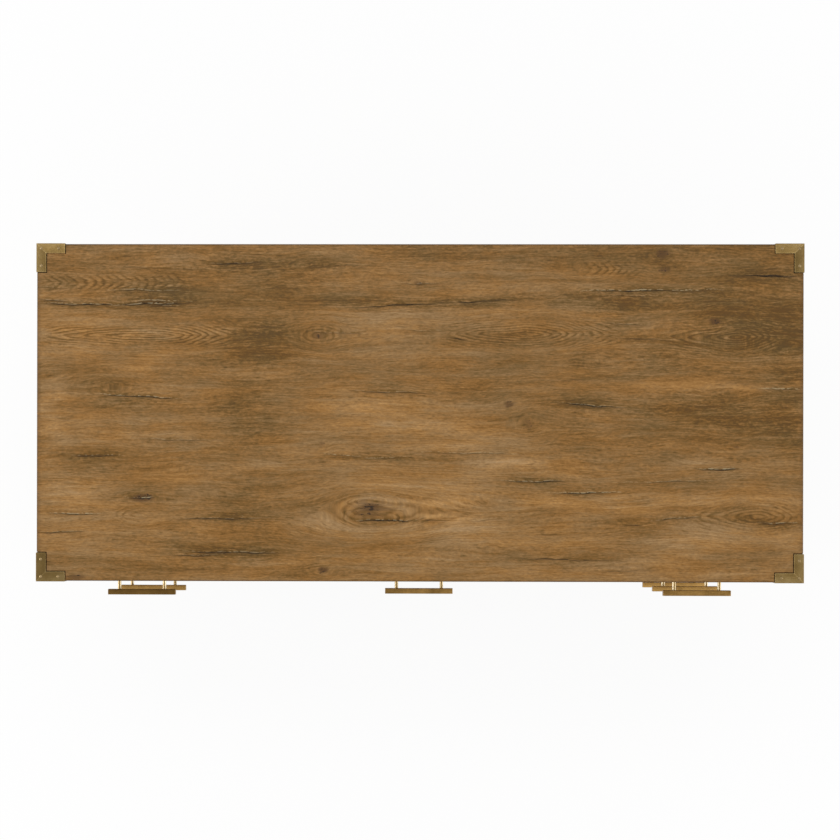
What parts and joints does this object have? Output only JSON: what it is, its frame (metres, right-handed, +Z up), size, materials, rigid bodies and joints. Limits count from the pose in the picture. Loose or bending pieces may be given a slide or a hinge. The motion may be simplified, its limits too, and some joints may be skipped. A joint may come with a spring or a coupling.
{
  "type": "campaign desk",
  "caption": "Pedestal writing desk with a flat weathered wood top, brass corner brackets and bar pulls, box, file and pencil drawers on telescopic slides, and tapered legs.",
  "frame": {"origin": "on the floor, under the middle of the whole outline with its pulls and corner brackets", "axes": "+X along the desk to the sitter's right, +Y from the drawer fronts to the back, +Z up"},
  "size_m": [1.6792, 0.7768, 0.7648],
  "materials": {
    "weathered_oak": "satin",
    "drawer_birch": "satin",
    "beech": "plain",
    "antique_brass": "antiqued satin",
    "zinc_steel": "zinc plated",
    "nylon": "matte"
  },
  "bodies": {
    "case": {"desktop": "weathered_oak", "modesty_panel": "weathered_oak", "kneehole_rails": "weathered_oak", "left_outer_side": "weathered_oak", "left_inner_side": "weathered_oak", "left_back_panel": "weathered_oak", "left_base_panel": "weathered_oak", "left_drawer_rails": "weathered_oak", "left_legs": "weathered_oak", "right_outer_side": "weathered_oak", "right_inner_side": "weathered_oak", "right_back_panel": "weathered_oak", "right_base_panel": "weathered_oak", "right_drawer_rails": "weathered_oak", "right_legs": "weathered_oak", "corner_bracket_front_left": "antique_brass", "corner_bracket_front_right": "antique_brass", "corner_bracket_back_left": "antique_brass", "corner_bracket_back_right": "antique_brass", "corner_bracket_pins": "antique_brass", "leg_caps": "antique_brass", "desktop_screws": "zinc_steel", "leg_bolts": "zinc_steel", "left_slide_channels": "zinc_steel", "kneehole_slide_channels": "zinc_steel", "right_slide_channels": "zinc_steel", "case_dowels": "beech", "foot_glides": "nylon"},
    "left_top_drawer": {"left_top_drawer_front": "weathered_oak", "left_top_drawer_box": "drawer_birch", "left_top_drawer_pull": "antique_brass", "left_top_drawer_slide_runners": "zinc_steel"},
    "left_top_drawer_middles": {"left_top_drawer_slide_middles": "zinc_steel"},
    "left_file_drawer": {"left_file_drawer_front": "weathered_oak", "left_file_drawer_box": "drawer_birch", "left_file_drawer_pull": "antique_brass", "left_file_drawer_slide_runners": "zinc_steel", "file_hanging_rails": "zinc_steel"},
    "left_file_drawer_middles": {"left_file_drawer_slide_middles": "zinc_steel"},
    "centre_drawer": {"centre_drawer_front": "weathered_oak", "centre_drawer_box": "drawer_birch", "centre_drawer_pull": "antique_brass", "centre_drawer_slide_runners": "zinc_steel"},
    "centre_drawer_middles": {"centre_drawer_slide_middles": "zinc_steel"},
    "right_top_drawer": {"right_top_drawer_front": "weathered_oak", "right_top_drawer_box": "drawer_birch", "right_top_drawer_pull": "antique_brass", "right_top_drawer_slide_runners": "zinc_steel"},
    "right_top_drawer_middles": {"right_top_drawer_slide_middles": "zinc_steel"},
    "right_middle_drawer": {"right_middle_drawer_front": "weathered_oak", "right_middle_drawer_box": "drawer_birch", "right_middle_drawer_pull": "antique_brass", "right_middle_drawer_slide_runners": "zinc_steel"},
    "right_middle_drawer_middles": {"right_middle_drawer_slide_middles": "zinc_steel"},
    "right_bottom_drawer": {"right_bottom_drawer_front": "weathered_oak", "right_bottom_drawer_box": "drawer_birch", "right_bottom_drawer_pull": "antique_brass", "right_bottom_drawer_slide_runners": "zinc_steel"},
    "right_bottom_drawer_middles": {"right_bottom_drawer_slide_middles": "zinc_steel"}
  },
  "joints": [
    {"name": "left_top_drawer_slide", "type": "slide", "parent": "case", "child": "left_top_drawer", "axis": [0, -1, 0], "range_m": [0, 0.5]},
    {"name": "left_top_drawer_middles_slide", "type": "slide", "parent": "case", "child": "left_top_drawer_middles", "axis": [0, -1, 0], "range_m": [0, 0.25]},
    {"name": "left_file_drawer_slide", "type": "slide", "parent": "case", "child": "left_file_drawer", "axis": [0, -1, 0], "range_m": [0, 0.5]},
    {"name": "left_file_drawer_middles_slide", "type": "slide", "parent": "case", "child": "left_file_drawer_middles", "axis": [0, -1, 0], "range_m": [0, 0.25]},
    {"name": "centre_drawer_slide", "type": "slide", "parent": "case", "child": "centre_drawer", "axis": [0, -1, 0], "range_m": [0, 0.4]},
    {"name": "centre_drawer_middles_slide", "type": "slide", "parent": "case", "child": "centre_drawer_middles", "axis": [0, -1, 0], "range_m": [0, 0.2]},
    {"name": "right_top_drawer_slide", "type": "slide", "parent": "case", "child": "right_top_drawer", "axis": [0, -1, 0], "range_m": [0, 0.5]},
    {"name": "right_top_drawer_middles_slide", "type": "slide", "parent": "case", "child": "right_top_drawer_middles", "axis": [0, -1, 0], "range_m": [0, 0.25]},
    {"name": "right_middle_drawer_slide", "type": "slide", "parent": "case", "child": "right_middle_drawer", "axis": [0, -1, 0], "range_m": [0, 0.5]},
    {"name": "right_middle_drawer_middles_slide", "type": "slide", "parent": "case", "child": "right_middle_drawer_middles", "axis": [0, -1, 0], "range_m": [0, 0.25]},
    {"name": "right_bottom_drawer_slide", "type": "slide", "parent": "case", "child": "right_bottom_drawer", "axis": [0, -1, 0], "range_m": [0, 0.5]},
    {"name": "right_bottom_drawer_middles_slide", "type": "slide", "parent": "case", "child": "right_bottom_drawer_middles", "axis": [0, -1, 0], "range_m": [0, 0.25]}
  ],
  "couplings": [
    {"joint": "left_top_drawer_middles_slide", "follows": "left_top_drawer_slide", "ratio": 0.5},
    {"joint": "left_file_drawer_middles_slide", "follows": "left_file_drawer_slide", "ratio": 0.5},
    {"joint": "centre_drawer_middles_slide", "follows": "centre_drawer_slide", "ratio": 0.5},
    {"joint": "right_top_drawer_middles_slide", "follows": "right_top_drawer_slide", "ratio": 0.5},
    {"joint": "right_middle_drawer_middles_slide", "follows": "right_middle_drawer_slide", "ratio": 0.5},
    {"joint": "right_bottom_drawer_middles_slide", "follows": "right_bottom_drawer_slide", "ratio": 0.5}
  ]
}
